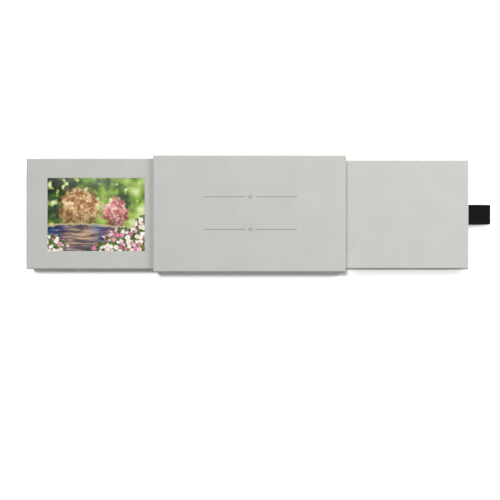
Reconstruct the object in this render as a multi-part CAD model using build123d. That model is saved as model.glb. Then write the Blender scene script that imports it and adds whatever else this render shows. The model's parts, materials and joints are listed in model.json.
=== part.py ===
from build123d import *
from math import sqrt
import os

# A double-slider video brochure, in millimetres, shown pulled open.
# A rigid paper-wrapped sleeve holds two sliders, one above the other. The upper one is a tray
# with a small screen and its electronics, the lower one a blank pull card with a ribbon tab.
# A loop of clear film runs round a divider between them: its upper run is taped to the tray
# and its lower run to the card, so pulling one out sends the other out the opposite way.
# The origin is the centre of the sleeve's underside. +X is the ribbon's end, +Z is up.

# Sleeve
SLEEVE_LENGTH = 96.5
SLEEVE_WIDTH = 58.6
BOARD = 1.05  # greyboard of the sleeve's walls
PAPER = 0.15  # wrapping paper, everywhere on the object
EDGE_RADIUS = 0.6  # outside rounding of the wrapped long edges
TURN_IN = 12.0  # how far the paper is turned in at each mouth
MAGNET_DIAMETER = 8.0
MAGNET_THICKNESS = 0.8

# Belt drive
TRAVEL = 63.8
DIVIDER = 0.35
DIVIDER_SETBACK = 4.0  # of the divider's web from each mouth
FILM = 0.10
FILM_WIDTH = 36.0
FILM_GAP = 0.05  # between the film and the divider
TAPE = 0.08
TAPE_LENGTH = 12.0
TAPE_INSET = 3.0  # of the tape from each edge of the film
TAPE_GAP = 0.02  # the tape clears the other body's film by this
END_OF_RUN = 2.0  # film left past the tape at each end of the travel

# Running clearances of the sliders
SIDE_GAP = 0.20
CARD_GAP = 0.10  # under the card
TRAY_GAP = 0.15  # over the tray
END_RECESS = 0.5  # of a slider's hidden end when it is closed

# Pull card
CARD_THICKNESS = 1.5
CARD_RADIUS = 0.35
RIBBON_WIDTH = 10.0
RIBBON = 0.30  # one layer of the grosgrain
RIBBON_LAYERS_GAP = 0.06
RIBBON_ROOT = 13.0  # length glued inside the card
RIBBON_REACH = 11.0  # length that stands out
RIBBON_DROOP = 1.15  # how far its tip hangs below its root
RIBBON_BEND = 4.0

# Tray
TRAY_THICKNESS = 6.2
TRAY_RADIUS = 0.4
BASE_BOARD = 0.8
COVER_BOARD = 0.4
POCKET_GAP = 0.15  # round each thing in its pocket
POCKET_WALL = 1.2  # least wall between two pockets, or a pocket and the edge

# Screen, a 2.4 inch module of 320 by 240 points
VIEW_LENGTH = 48.96
VIEW_WIDTH = 36.72
VIEW_MARGIN = 10.5  # from the tray's outer end to the picture
VIEW_OFFSET = -0.4  # of the picture's middle from the tray's, towards +Y
LCD_BORDER = 2.8
LCD_LEDGE = 8.5  # border on the side of the driver chip
LCD_THICKNESS = 2.3
GLASS = 0.5  # each of its two glasses
GLASS_INSET = 0.5  # of the glass in the backlight's frame
DRIVER_LENGTH = 18.0
DRIVER_WIDTH = 1.4
DRIVER_HEIGHT = 0.3
FLEX = 0.12
FLEX_WIDTH = 16.0
FLEX_LANDING = 4.0

# Electronics
PCB = 0.8
PCB_WIDTH = 27.0
PCB_RAISE = 0.6  # the insert's floor under it
PART_GAP = 0.8  # between parts on the circuit board, and from its edge
BATTERY_LENGTH = 46.0
BATTERY_WIDTH = 30.0
BATTERY_THICKNESS = 2.0
BATTERY_CROWN = 0.7  # rounding of the pouch's edges
SPEAKER_DIAMETER = 18.0
SPEAKER_HEIGHT = 3.0
SPEAKER_CUP = 9.0  # diameter of its magnet
SPEAKER_RIM = 0.5
CONE_DEPTH = 0.6
CONE_FILM = 0.15
LEAD = 0.8  # diameter of the insulated wires
LEAD_PITCH = 1.3
SOCKET_PLACE = 11.65  # of its middle from the circuit board's rear edge
SOCKET_WIDTH = 7.5
SOCKET_HEIGHT = 2.5
SOCKET_DEPTH = 5.6
SOCKET_WALL = 0.25
SOCKET_RECESS = 0.35  # of its mouth from the tray's end
SOCKET_MARGIN = 0.1  # of the cut-outs round it
TONGUE_WIDTH = 3.7
TONGUE_HEIGHT = 0.6

# Heights in the sleeve, from the underside up
wall = BOARD + 2 * PAPER
card_z = wall + CARD_GAP
card_top = card_z + CARD_THICKNESS
lower_run_z = card_top + TAPE + TAPE_GAP
divider_z = lower_run_z + FILM + FILM_GAP
divider_top = divider_z + DIVIDER
upper_run_z = divider_top + FILM_GAP
tray_z = upper_run_z + FILM + TAPE_GAP + TAPE
ceiling = tray_z + TRAY_THICKNESS + TRAY_GAP
SLEEVE_HEIGHT = ceiling + wall

# Lengths and widths
mouth = SLEEVE_LENGTH / 2
cavity_width = SLEEVE_WIDTH - 2 * wall
slider_length = SLEEVE_LENGTH - END_RECESS
slider_width = cavity_width - 2 * SIDE_GAP
slider_x = END_RECESS / 2 + TRAVEL  # from the sleeve's middle to a slider's, pulled open
run_end = (TRAVEL + TAPE_LENGTH) / 2 + END_OF_RUN  # where the film turns round the divider

# Heights in the tray, from its own underside up
base_top = PAPER + BASE_BOARD
insert_top = TRAY_THICKNESS - PAPER - COVER_BOARD
lcd_z = insert_top - LCD_THICKNESS
glass_z = insert_top - 2 * GLASS
pcb_z = base_top + PCB_RAISE
pcb_top = pcb_z + PCB

# Places in the tray, from its middle towards the port's end
end = slider_length / 2
side = slider_width / 2
view_x = -end + VIEW_MARGIN + VIEW_LENGTH / 2
lcd_low = -end + VIEW_MARGIN - LCD_BORDER
lcd_high = lcd_low + LCD_BORDER + VIEW_LENGTH + LCD_LEDGE
lcd_width = VIEW_WIDTH + 2 * LCD_BORDER
lcd_x = (lcd_low + lcd_high) / 2
pcb_high = end - PAPER - POCKET_WALL - POCKET_GAP
pcb_low = lcd_high + POCKET_WALL + 2 * POCKET_GAP
pcb_x = (pcb_low + pcb_high) / 2
speaker_y = side - PAPER - POCKET_WALL - POCKET_GAP - SPEAKER_DIAMETER / 2
pcb_rear = speaker_y - SPEAKER_DIAMETER / 2 - POCKET_WALL - 2 * POCKET_GAP
pcb_front = pcb_rear - PCB_WIDTH
pcb_y = (pcb_front + pcb_rear) / 2
socket_y = pcb_rear - SOCKET_PLACE
socket_front = end - SOCKET_RECESS
socket_z = base_top + SOCKET_HEIGHT / 2
battery_high = lcd_x + BATTERY_LENGTH / 2


def block(x, y, z):
    """A box from the low and high end of each side."""
    low, high = zip(x, y, z)
    size = [b - a for a, b in zip(low, high)]
    centre = [(a + b) / 2 for a, b in zip(low, high)]
    return Pos(*centre) * Box(*size)


def centred(length, width, z, x=0.0, y=0.0):
    """A box with its middle at x, y and its two heights in z."""
    return block((x - length / 2, x + length / 2), (y - width / 2, y + width / 2), z)


def along_x(section, length):
    """A section drawn in Y and Z, centred on X."""
    return extrude(Plane.YZ * section, length / 2, both=True)


def along_y(section, width, y=0.0):
    """A section drawn in X and Z, centred on y."""
    return Pos(0, y, 0) * extrude(Plane.XZ * section, width / 2, both=True)


def rounded_block(length, width, height, radius):
    """A block on Z = 0, rounded along its upper and lower edges and mitred at its corners."""
    lengthwise = along_x(RectangleRounded(width, height, radius), length)
    return Pos(0, 0, height / 2) * (lengthwise & along_y(RectangleRounded(length, height, radius), width))


# --- Sleeve ---------------------------------------------------------------------------------

middle = SLEEVE_HEIGHT / 2


def ring(inset, radius=0.0):
    """The sleeve's cross-section, inset by so much from its outside."""
    width, height = SLEEVE_WIDTH - 2 * inset, SLEEVE_HEIGHT - 2 * inset
    shape = RectangleRounded(width, height, radius) if radius else Rectangle(width, height)
    return Pos(0, middle) * shape


def board_tube():
    """All the greyboard of the four walls."""
    outside = ring(PAPER, EDGE_RADIUS - PAPER)
    return along_x(outside - ring(PAPER + BOARD), SLEEVE_LENGTH - 2 * PAPER)


def slab(z):
    """Everything in the sleeve between two heights."""
    return centred(SLEEVE_LENGTH, SLEEVE_WIDTH, z)


def sleeve_bottom_board():
    return board_tube() & slab((0, wall - PAPER))


def magnet_pocket(height):
    """A disc on the ceiling, over the switch when the tray is in."""
    disc = Cylinder(MAGNET_DIAMETER / 2, height, align=(Align.CENTER, Align.CENTER, Align.MIN))
    return Pos(switch_x - END_RECESS / 2, switch_y, ceiling + PAPER) * disc


def sleeve_top_board():
    return (board_tube() & slab((ceiling + PAPER, SLEEVE_HEIGHT))) - magnet_pocket(MAGNET_THICKNESS)


def switch_magnet():
    return magnet_pocket(MAGNET_THICKNESS)


def side_strip(hand, z):
    """Board of one side wall between two heights, which clamps the divider's edge."""
    half = block((-mouth, mouth), sorted((0, hand * SLEEVE_WIDTH)), z)
    return board_tube() & half


def divider_web():
    """The part of the divider that shows between the walls, before its ends are notched."""
    return centred(2 * (mouth - DIVIDER_SETBACK), cavity_width + 2 * PAPER, (divider_z, divider_top))


def divider_board():
    """Full-length edges inside the walls, and a web notched back where the film turns."""
    edges = centred(SLEEVE_LENGTH - 2 * PAPER, SLEEVE_WIDTH - 2 * PAPER, (divider_z, divider_top))
    edges -= centred(SLEEVE_LENGTH, cavity_width + 2 * PAPER, (divider_z, divider_top))
    board = edges + divider_web()
    for end_of_film in (-1, 1):
        x = sorted((end_of_film * run_end, end_of_film * mouth))
        notch = FILM_WIDTH / 2 + 4 * FILM_GAP
        board -= block(x, (-notch, notch), (divider_z, divider_top))
    return board


def belt_film():
    """The clear loop round the divider."""
    inner = DIVIDER + 2 * FILM_GAP
    outside = SlotCenterToCenter(2 * run_end, inner + 2 * FILM)
    section = outside - SlotCenterToCenter(2 * run_end, inner)
    return Pos(0, 0, (divider_z + divider_top) / 2) * along_y(section, FILM_WIDTH)


def wrap_tube():
    """The paper of all four walls: the outside, the mouths and what is turned in."""
    paper = along_x(ring(0, EDGE_RADIUS) - ring(wall), SLEEVE_LENGTH) - board_tube()
    bare = along_x(ring(PAPER + BOARD) - ring(wall), SLEEVE_LENGTH - 2 * TURN_IN)
    slot = centred(2 * (mouth - DIVIDER_SETBACK), SLEEVE_WIDTH - 2 * PAPER, (divider_z, divider_top))
    return paper - bare - slot


def wrap_panel(facing):
    """One panel of the wrap, between the mitres at its two creases."""
    half, deep = SLEEVE_WIDTH / 2, SLEEVE_HEIGHT / 2
    inner = half - deep
    across = [(-half, -deep), (half, -deep), (inner, 0), (-inner, 0)]
    upright = [(half, -deep), (half, deep), (inner, 0)]
    points = across if facing in ("bottom", "top") else upright
    hand = -1 if facing in ("top", "front") else 1
    wedge = make_face(Polyline([(hand * y, hand * z + middle) for y, z in points], close=True))
    return wrap_tube() & along_x(wedge, SLEEVE_LENGTH)


def sleeve_lining(z):
    """Paper on the floor or the ceiling, between the turn-ins."""
    return centred(SLEEVE_LENGTH - 2 * TURN_IN, cavity_width, z)


# --- Pull card ------------------------------------------------------------------------------

ribbon_thickness = 2 * RIBBON + RIBBON_LAYERS_GAP
ribbon_middle = PAPER + FILM_GAP + ribbon_thickness / 2


def card_core():
    """All that the card's paper is folded round."""
    core = rounded_block(
        slider_length - 2 * PAPER,
        slider_width - 2 * PAPER,
        CARD_THICKNESS - 2 * PAPER,
        CARD_RADIUS - PAPER,
    )
    return Pos(0, 0, PAPER) * core


def ribbon_slot(low):
    """The pocket for the ribbon's root, from low out through the card's end."""
    high = ribbon_middle + ribbon_thickness / 2 + FILM_GAP
    width = RIBBON_WIDTH + 2 * FILM_GAP
    return block((low, end + PAPER), (-width / 2, width / 2), (PAPER, high))


def card_board():
    return card_core() - ribbon_slot(end - RIBBON_ROOT - FILM_GAP)


def card_wrap():
    """One sheet folded round the board, slit where the ribbon leaves."""
    outside = rounded_block(slider_length, slider_width, CARD_THICKNESS, CARD_RADIUS)
    return outside - card_core() - ribbon_slot(end - PAPER - FILM_GAP)


def ribbon_tab():
    """Grosgrain folded double: both layers glued in the card, the fold hanging at the tip."""
    tip = end + RIBBON_REACH
    path = FilletPolyline(
        (end - RIBBON_ROOT, ribbon_middle),
        (end + 0.3 * RIBBON_REACH, ribbon_middle),
        (end + 0.72 * RIBBON_REACH, ribbon_middle - 0.8 * RIBBON_DROOP),
        (tip - ribbon_thickness / 2, ribbon_middle - RIBBON_DROOP),
        radius=RIBBON_BEND,
    )
    full = make_face(offset(path, ribbon_thickness / 2, kind=Kind.ARC))
    inside = make_face(offset(path, RIBBON_LAYERS_GAP / 2, kind=Kind.ARC))
    root = Pos(end - RIBBON_ROOT - ribbon_thickness, ribbon_middle) * Rectangle(
        2 * ribbon_thickness, 2 * ribbon_thickness
    )
    return along_y(full - inside - root, RIBBON_WIDTH)


def card_tape():
    """The patch that ties the card to the film's lower run."""
    x = run_end - END_OF_RUN - TAPE_LENGTH / 2 - slider_x
    z = (CARD_THICKNESS, CARD_THICKNESS + TAPE)
    return centred(TAPE_LENGTH, FILM_WIDTH - 2 * TAPE_INSET, z, x)


# --- Tray -----------------------------------------------------------------------------------


def tray_core():
    """All that the tray's paper is folded round."""
    core = rounded_block(
        slider_length - 2 * PAPER,
        slider_width - 2 * PAPER,
        TRAY_THICKNESS - 2 * PAPER,
        TRAY_RADIUS - PAPER,
    )
    return Pos(0, 0, PAPER) * core


def layer(low, high):
    """The tray's core between two heights."""
    return tray_core() & centred(slider_length, slider_width, (low, high))


def window(low, high):
    """The hole through which the picture shows."""
    return centred(VIEW_LENGTH, VIEW_WIDTH, (low, high), view_x, VIEW_OFFSET)


def socket_hole():
    """Cut-out for the charging socket, through all that is before it."""
    width = SOCKET_WIDTH + 2 * SOCKET_MARGIN
    y = (socket_y - width / 2, socket_y + width / 2)
    z = (base_top, base_top + SOCKET_HEIGHT + SOCKET_MARGIN)
    return block((socket_front - SOCKET_DEPTH - SOCKET_MARGIN, end), y, z)


def tray_base_board():
    return layer(PAPER, base_top)


def tray_cover_board():
    return layer(insert_top, TRAY_THICKNESS) - window(insert_top, TRAY_THICKNESS)


def tray_insert():
    """Layered board with a pocket for each thing inside, and channels for the wires."""
    insert = layer(base_top, insert_top)
    room = 2 * POCKET_GAP
    insert -= centred(
        lcd_high - lcd_low + room, lcd_width + room, (lcd_z, insert_top), lcd_x, VIEW_OFFSET
    )
    insert -= centred(
        BATTERY_LENGTH + room, BATTERY_WIDTH + room, (base_top, lcd_z), lcd_x, VIEW_OFFSET
    )
    insert -= centred(
        pcb_high - pcb_low + room, PCB_WIDTH + room, (pcb_z, insert_top), pcb_x, pcb_y
    )
    insert -= speaker_disc(SPEAKER_DIAMETER / 2 + POCKET_GAP, base_top, insert_top)
    insert -= centred(
        2 * (pcb_low - lcd_high), FLEX_WIDTH + room, (pcb_top, insert_top), pcb_low, flex_y
    )
    leads = (lead_y - LEAD, lead_y + LEAD_PITCH + LEAD)
    insert -= block((battery_high, pcb_x), leads, (pcb_z, lcd_z))
    speaker_side = (pcb_rear, speaker_y)
    insert -= block((pcb_x - 4 * LEAD, pcb_x + 4 * LEAD), speaker_side, (pcb_top, insert_top))
    return insert - socket_hole()


def tray_wrap():
    """One sheet over the top, sides and ends, turned in under the base, with a window."""
    paper = rounded_block(slider_length, slider_width, TRAY_THICKNESS, TRAY_RADIUS) - tray_core()
    underside = centred(slider_length - 2 * TURN_IN, slider_width - 2 * TURN_IN, (0, PAPER))
    return paper - underside - window(insert_top, TRAY_THICKNESS) - socket_hole()


def tray_base_lining():
    """Paper on the tray's underside between the turn-ins."""
    return centred(slider_length - 2 * TURN_IN, slider_width - 2 * TURN_IN, (0, PAPER))


def tray_tape():
    """The patch that ties the tray to the film's upper run."""
    x = slider_x - (run_end - END_OF_RUN - TAPE_LENGTH / 2)
    return centred(TAPE_LENGTH, FILM_WIDTH - 2 * TAPE_INSET, (-TAPE, 0), x)


# --- Screen ---------------------------------------------------------------------------------


def lcd_backlight():
    """Shallow frame with a rim round the glass, open on the driver's side for the flex."""
    frame = centred(lcd_high - lcd_low, lcd_width, (lcd_z, glass_z + GLASS), lcd_x, VIEW_OFFSET)
    bed = (lcd_low + GLASS_INSET, lcd_high + GLASS_INSET)
    half = lcd_width / 2 - GLASS_INSET
    return frame - block(bed, (VIEW_OFFSET - half, VIEW_OFFSET + half), (glass_z, insert_top))


def lcd_panel():
    """Two glasses, the lower one longer by the ledge that carries the driver chip."""
    low = lcd_low + GLASS_INSET
    half = lcd_width / 2 - GLASS_INSET
    y = (VIEW_OFFSET - half, VIEW_OFFSET + half)
    lower = block((low, lcd_high - GLASS_INSET), y, (glass_z, glass_z + GLASS))
    upper_end = view_x + VIEW_LENGTH / 2 + LCD_BORDER
    return lower + block((low, upper_end), y, (glass_z + GLASS, insert_top))


def lcd_driver_chip():
    x = view_x + VIEW_LENGTH / 2 + LCD_BORDER + DRIVER_WIDTH
    z = (glass_z + GLASS, glass_z + GLASS + DRIVER_HEIGHT)
    return centred(DRIVER_WIDTH, DRIVER_LENGTH, z, x, VIEW_OFFSET)


def lcd_flex():
    """Flexible circuit from the glass's ledge down to the board."""
    high = glass_z + GLASS + FLEX / 2
    low = pcb_top + FLEX / 2
    start = view_x + VIEW_LENGTH / 2 + LCD_BORDER + 2.5 * DRIVER_WIDTH
    bend = (lcd_high + pcb_low) / 2
    path = FilletPolyline(
        (start, high), (bend, high), (bend, low), (pcb_low + FLEX_LANDING, low), radius=5 * FLEX
    )
    return along_y(trace(path, FLEX), FLEX_WIDTH, flex_y)


# --- Electronics ----------------------------------------------------------------------------

# Middles of the parts on the circuit board, each from the nearest edge of the board
PROCESSOR = (6.0, 6.0, 0.9)
MEMORY = (6.0, 5.0, 0.75)
CRYSTAL = (5.0, 2.0, 0.8)
SWITCH = (2.9, 1.6, 1.1)
CHIP = (1.0, 0.5, 0.5)
CHIP_PITCH = 1.5
COIL_DIAMETER = 3.8
COIL_HEIGHT = 1.6
COIL_FLANGE = 0.4

landing_end = pcb_low + FLEX_LANDING
processor_x = pcb_high - PART_GAP - PROCESSOR[0] / 2
processor_y = pcb_rear - 2 * PART_GAP - PROCESSOR[1] / 2
memory_x = pcb_low + PART_GAP + MEMORY[0] / 2
memory_y = pcb_front + PART_GAP + MEMORY[1] / 2
lead_y = memory_y + MEMORY[1] / 2 + PART_GAP + LEAD / 2
flex_y = lead_y + LEAD_PITCH + LEAD / 2 + PART_GAP + FLEX_WIDTH / 2
switch_x = pcb_high - PART_GAP - SWITCH[0] / 2
switch_y = pcb_front + PART_GAP + SWITCH[1] / 2
coil_x = pcb_high - PART_GAP - COIL_DIAMETER / 2
coil_y = switch_y + SWITCH[1] / 2 + PART_GAP + COIL_DIAMETER / 2


def package(size, x, y, bevel=0.12):
    """A moulded chip on the circuit board."""
    length, width, height = size
    body = centred(length, width, (pcb_top, pcb_top + height), x, y)
    return chamfer(body.faces().sort_by(Axis.Z)[-1].edges(), bevel)


def circuit_board():
    board = centred(pcb_high - pcb_low, PCB_WIDTH, (pcb_z, pcb_top), pcb_x, pcb_y)
    board = fillet(board.edges().filter_by(Axis.Z), PART_GAP / 2)
    return board - socket_hole()


def processor_chip():
    return package(PROCESSOR, processor_x, processor_y)


def memory_chip():
    return package(MEMORY, memory_x, memory_y)


def clock_crystal():
    length, width, height = CRYSTAL
    can = extrude(SlotOverall(length, width), height)
    return Pos(landing_end + PART_GAP + length / 2, socket_y, pcb_top) * can


def power_coil():
    """Wound choke of the charger, a drum between two flanges."""
    upright = (Align.CENTER, Align.CENTER, Align.MIN)
    flange = Cylinder(COIL_DIAMETER / 2, COIL_FLANGE, align=upright)
    drum = Cylinder(COIL_DIAMETER / 2 - COIL_FLANGE, COIL_HEIGHT, align=upright)
    coil = flange + drum + Pos(0, 0, COIL_HEIGHT - COIL_FLANGE) * flange
    return Pos(coil_x, coil_y, pcb_top) * coil


def small_parts():
    """A row of chip capacitors and resistors beside the processor."""
    x = landing_end + PART_GAP + CHIP[0] / 2
    top = pcb_rear - PART_GAP - CHIP[1] / 2
    row = [package(CHIP, x, top - CHIP_PITCH * n, CHIP[1] / 10) for n in range(5)]
    return Compound(children=row)


def magnetic_switch():
    return package(SWITCH, switch_x, switch_y)


def usb_socket():
    """Pressed shell of the charging socket, sunk into a notch of the board."""
    low, high = socket_front - SOCKET_DEPTH, socket_front
    shell = centred(SOCKET_DEPTH, SOCKET_WIDTH, (base_top, base_top + SOCKET_HEIGHT), 0, socket_y)
    shell = Pos((low + high) / 2, 0, 0) * shell
    lower = shell.edges().filter_by(Axis.X).group_by(Axis.Z)[0]
    shell = chamfer(lower, SOCKET_HEIGHT / 3)
    mouth_face = shell.faces().sort_by(Axis.X)[-1]
    return offset(shell, -SOCKET_WALL, openings=mouth_face)


def usb_tongue():
    """Contact tongue inside the socket's shell."""
    x = (socket_front - SOCKET_DEPTH + SOCKET_WALL, socket_front - 1.0)
    y = (socket_y - TONGUE_WIDTH / 2, socket_y + TONGUE_WIDTH / 2)
    middle_z = socket_z + TONGUE_HEIGHT / 2
    return block(x, y, (middle_z - TONGUE_HEIGHT / 2, middle_z + TONGUE_HEIGHT / 2))


def battery_cell():
    """Thin pouch cell under the screen."""
    z = (base_top, base_top + BATTERY_THICKNESS)
    cell = centred(BATTERY_LENGTH, BATTERY_WIDTH, z, lcd_x, VIEW_OFFSET)
    return fillet(cell.edges().filter_by(Axis.X), BATTERY_CROWN)


def screen_pad():
    """Foam tape between the battery and the screen."""
    z = (base_top + BATTERY_THICKNESS, lcd_z)
    return centred(0.8 * BATTERY_LENGTH, 0.6 * BATTERY_WIDTH, z, lcd_x, VIEW_OFFSET)


def battery_leads():
    """Two wires from the cell to the circuit board."""
    low, high = pcb_z + LEAD / 2, pcb_top + LEAD / 2
    rise = (battery_high + pcb_low) / 2
    wires = []
    for y in (lead_y, lead_y + LEAD_PITCH):
        path = FilletPolyline(
            (battery_high, y, low),
            (rise - LEAD, y, low),
            (rise + 4 * LEAD, y, high),
            (pcb_low + 3 * LEAD, y, high),
            radius=2 * LEAD,
        )
        wires.append(sweep(Plane(path @ 0, z_dir=path % 0) * Circle(LEAD / 2), path=path))
    return Compound(children=wires)


def speaker_disc(radius, low, high):
    """A disc about the speaker's axis, between two heights."""
    disc = Cylinder(radius, high - low, align=(Align.CENTER, Align.CENTER, Align.MIN))
    return Pos(pcb_x, speaker_y, low) * disc


def speaker_frame():
    """Pressed basket: a floor that holds the magnet, and a rim for the cone."""
    top = base_top + SPEAKER_HEIGHT
    basket = speaker_disc(SPEAKER_DIAMETER / 2, base_top, top)
    basket -= speaker_disc(SPEAKER_DIAMETER / 2 - SPEAKER_RIM, base_top + SPEAKER_RIM, top)
    return basket


def speaker_magnet():
    low = base_top + SPEAKER_RIM
    return speaker_disc(SPEAKER_CUP / 2, low, low + SPEAKER_HEIGHT / 2)


def speaker_cone():
    """Film cone: a flat surround, a sloping wall and a raised cap."""
    rim, crease = SPEAKER_DIAMETER / 2 - SPEAKER_RIM, SPEAKER_DIAMETER / 2 - 3 * SPEAKER_RIM
    cup, cap = SPEAKER_CUP / 2, SPEAKER_CUP / 4
    face = [(rim, 0), (crease, 0), (cup, -CONE_DEPTH), (cap, -CONE_DEPTH / 2), (0, -CONE_DEPTH / 2)]
    back = [(r, z - CONE_FILM) for r, z in reversed(face)]
    profile = Plane.XZ * make_face(Polyline(face + back, close=True))
    return Pos(pcb_x, speaker_y, base_top + SPEAKER_HEIGHT) * revolve(profile, Axis.Z)


def speaker_leads():
    """Two short wires from the speaker's rim, lying on the circuit board."""
    wires = []
    for x in (-LEAD_PITCH, LEAD_PITCH):
        start = speaker_y - sqrt((SPEAKER_DIAMETER / 2) ** 2 - x**2) - POCKET_GAP / 2
        length = start - (pcb_rear - PART_GAP)
        wire = Rot(90, 0, 0) * Cylinder(
            LEAD / 2, length, align=(Align.CENTER, Align.CENTER, Align.MIN)
        )
        wires.append(Pos(pcb_x + x, start, pcb_top + LEAD / 2) * wire)
    return Compound(children=wires)


# --- The pieces, in their places --------------------------------------------------------------

TRAY_PLACE = Pos(-slider_x, 0, tray_z)
CARD_PLACE = Pos(slider_x, 0, card_z)
lower_strip = (wall - PAPER, divider_z)
upper_strip = (divider_top, ceiling + PAPER)

SLEEVE_PIECES = {
    "sleeve_bottom_board": sleeve_bottom_board(),
    "sleeve_top_board": sleeve_top_board(),
    "front_lower_strip": side_strip(-1, lower_strip),
    "front_upper_strip": side_strip(-1, upper_strip),
    "rear_lower_strip": side_strip(1, lower_strip),
    "rear_upper_strip": side_strip(1, upper_strip),
    "divider_board": divider_board(),
    "belt_film": belt_film(),
    "wrap_bottom": wrap_panel("bottom"),
    "wrap_top": wrap_panel("top"),
    "wrap_front": wrap_panel("front"),
    "wrap_rear": wrap_panel("rear"),
    "lining_bottom": sleeve_lining((wall - PAPER, wall)),
    "lining_top": sleeve_lining((ceiling, ceiling + PAPER)),
    "switch_magnet": switch_magnet(),
}
CARD_PIECES = {
    "card_board": card_board(),
    "card_wrap": card_wrap(),
    "ribbon_tab": ribbon_tab(),
    "card_tape": card_tape(),
}
TRAY_PIECES = {
    "tray_base_board": tray_base_board(),
    "tray_insert": tray_insert(),
    "tray_cover_board": tray_cover_board(),
    "tray_wrap": tray_wrap(),
    "tray_base_lining": tray_base_lining(),
    "tray_tape": tray_tape(),
    "lcd_backlight": lcd_backlight(),
    "lcd_panel": lcd_panel(),
    "lcd_driver_chip": lcd_driver_chip(),
    "lcd_flex": lcd_flex(),
    "circuit_board": circuit_board(),
    "processor_chip": processor_chip(),
    "memory_chip": memory_chip(),
    "clock_crystal": clock_crystal(),
    "power_coil": power_coil(),
    "small_parts": small_parts(),
    "magnetic_switch": magnetic_switch(),
    "usb_socket": usb_socket(),
    "usb_tongue": usb_tongue(),
    "battery_cell": battery_cell(),
    "battery_leads": battery_leads(),
    "screen_pad": screen_pad(),
    "speaker_frame": speaker_frame(),
    "speaker_magnet": speaker_magnet(),
    "speaker_cone": speaker_cone(),
    "speaker_leads": speaker_leads(),
}


def write(pieces, place):
    for name, piece in pieces.items():
        export_step(place * piece, f"parts/{name}.step")


os.makedirs("parts", exist_ok=True)
write(SLEEVE_PIECES, Pos(0, 0, 0))
write(CARD_PIECES, CARD_PLACE)
write(TRAY_PIECES, TRAY_PLACE)
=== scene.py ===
import json
from math import cos, pi, radians, sin, sqrt

import bmesh
import bpy
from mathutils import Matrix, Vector


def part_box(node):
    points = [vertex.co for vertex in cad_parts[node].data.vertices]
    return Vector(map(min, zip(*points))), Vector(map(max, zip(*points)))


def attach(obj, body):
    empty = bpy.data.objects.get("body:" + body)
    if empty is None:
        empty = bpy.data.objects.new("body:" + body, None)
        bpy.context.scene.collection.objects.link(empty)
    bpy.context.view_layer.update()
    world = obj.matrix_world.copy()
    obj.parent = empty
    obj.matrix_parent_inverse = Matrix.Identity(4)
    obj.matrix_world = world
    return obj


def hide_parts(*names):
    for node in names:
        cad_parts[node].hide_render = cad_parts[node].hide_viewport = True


# The looks of a double-slider video brochure. Three papers and a ribbon take the place of the part's
# own, and every other node keeps its shape and gets a material. Lengths are in millimetres.

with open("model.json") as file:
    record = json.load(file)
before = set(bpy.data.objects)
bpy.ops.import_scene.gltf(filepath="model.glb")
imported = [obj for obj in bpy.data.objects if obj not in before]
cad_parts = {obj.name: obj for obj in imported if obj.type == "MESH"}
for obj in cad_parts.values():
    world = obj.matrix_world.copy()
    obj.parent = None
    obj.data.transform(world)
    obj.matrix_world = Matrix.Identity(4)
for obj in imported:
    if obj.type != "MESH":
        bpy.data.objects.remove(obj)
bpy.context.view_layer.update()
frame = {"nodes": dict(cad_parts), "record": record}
nodes = frame["nodes"]

MM = 0.001
PAPER = 0.15  # thickness of the wrapping paper
TURN_IN = 12.0  # how far the paper is turned in over the boards
ARC = 6  # steps in a rounded edge or corner


def sign(value):
    return 1 if value > 0 else -1


def peak(value, place, half_width):
    """1 at a place, falling to 0 on both sides of it."""
    return max(0.0, 1 - abs(value - place) / half_width)


def colour(red, green, blue):
    """A display colour from 0 to 255, as the linear one that Blender takes."""
    values = [c / 255 for c in (red, green, blue)]
    linear = [c / 12.92 if c <= 0.04045 else ((c + 0.055) / 1.055) ** 2.4 for c in values]
    return (*linear, 1)


def scaled(tint, factor):
    return (*(min(1.0, factor * c) for c in tint[:3]), 1)


# --- Node trees -----------------------------------------------------------------------------


class Nodes:
    """Short ways to add nodes to a tree. A value is a number, a colour or another node's output."""

    def __init__(self, tree):
        self.tree = tree

    def add(self, kind, values=None, **settings):
        node = self.tree.nodes.new(kind)
        for key, value in settings.items():
            setattr(node, key, value)
        for key, value in (values or {}).items():
            self.feed(node.inputs[key], value)
        return node

    def feed(self, socket, value):
        if isinstance(value, bpy.types.NodeSocket):
            self.tree.links.new(value, socket)
        else:
            socket.default_value = value

    def math(self, operation, *values):
        return self.add("ShaderNodeMath", dict(enumerate(values)), operation=operation).outputs[0]

    def remap(self, value, low, high, new_low=0, new_high=1, smooth=False, clamp=True):
        """A value between low and high, as one between new_low and new_high."""
        ends = {"From Min": low, "From Max": high, "To Min": new_low, "To Max": new_high}
        kind = "SMOOTHSTEP" if smooth else "LINEAR"
        values = {"Value": value, **ends}
        return self.add("ShaderNodeMapRange", values, interpolation_type=kind, clamp=clamp).outputs[0]

    def step(self, value, start, end):
        """0 at one place along an axis, and smoothly 1 at another."""
        return self.remap(value, start * MM, end * MM, smooth=True)

    def object_place(self):
        return self.add("ShaderNodeTexCoord").outputs["Object"]

    def axes(self, vector):
        return self.add("ShaderNodeSeparateXYZ", {"Vector": vector}).outputs


# --- Camera, floor and lights ---------------------------------------------------------------

CAMERA_PLACE = (0.25, -18.2, 391.5)
LENS = 54.72
SENSOR = 36

LAMPS = (  # name, kind, place, target, energy, size (the sun's in degrees), and if gloss shows it
    ("key", "SUN", (-112, 145, 600), (0, 0, 0), 1.53, 12, True),
    ("right_softbox", "AREA", (480, 400, 250), (20, 0, 0), 3.95, 400, False),
)
WORLD_STRENGTH = 0.148

FLOOR_HALF = 3000
FLOOR_LEVEL = -0.02
BOUNCE_WHITE = 0.82  # of the floor as it lights the object
FAR_WHITE = 1.72  # of the floor where it is looked at
NEAR_WHITE = 1.25  # the same, in the near zone
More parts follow.
